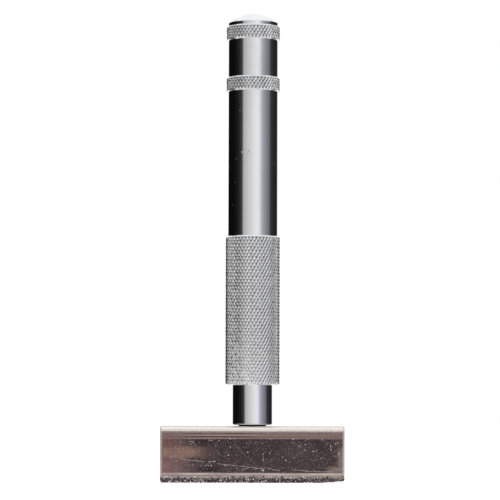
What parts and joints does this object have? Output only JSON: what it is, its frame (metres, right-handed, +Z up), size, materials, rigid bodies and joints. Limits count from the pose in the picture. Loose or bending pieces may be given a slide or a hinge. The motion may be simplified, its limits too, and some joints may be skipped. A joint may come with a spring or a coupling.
{
  "type": "diamond wheel dresser",
  "caption": "Hand tool for dressing grinding wheels: a slim plated handle with knurled grip and collars stands upright on a short square steel bar faced underneath with diamond grit.",
  "frame": {"origin": "middle of the resting face under the diamond layer", "axes": "+Z up along the handle, X along the head's long side, Y across the head"},
  "size_m": [0.0446, 0.0132, 0.115],
  "materials": {
    "plated_steel": "bright plate, diamond knurled on the grip and the two collars",
    "worn_plated_steel": "worn brown-tinted plate, speckled and scratched",
    "diamond_grit": "coarse grit held in a metal bond"
  },
  "bodies": {
    "root": {"handle": "plated_steel", "head_block": "worn_plated_steel", "diamond_layer": "diamond_grit"}
  },
  "joints": []
}
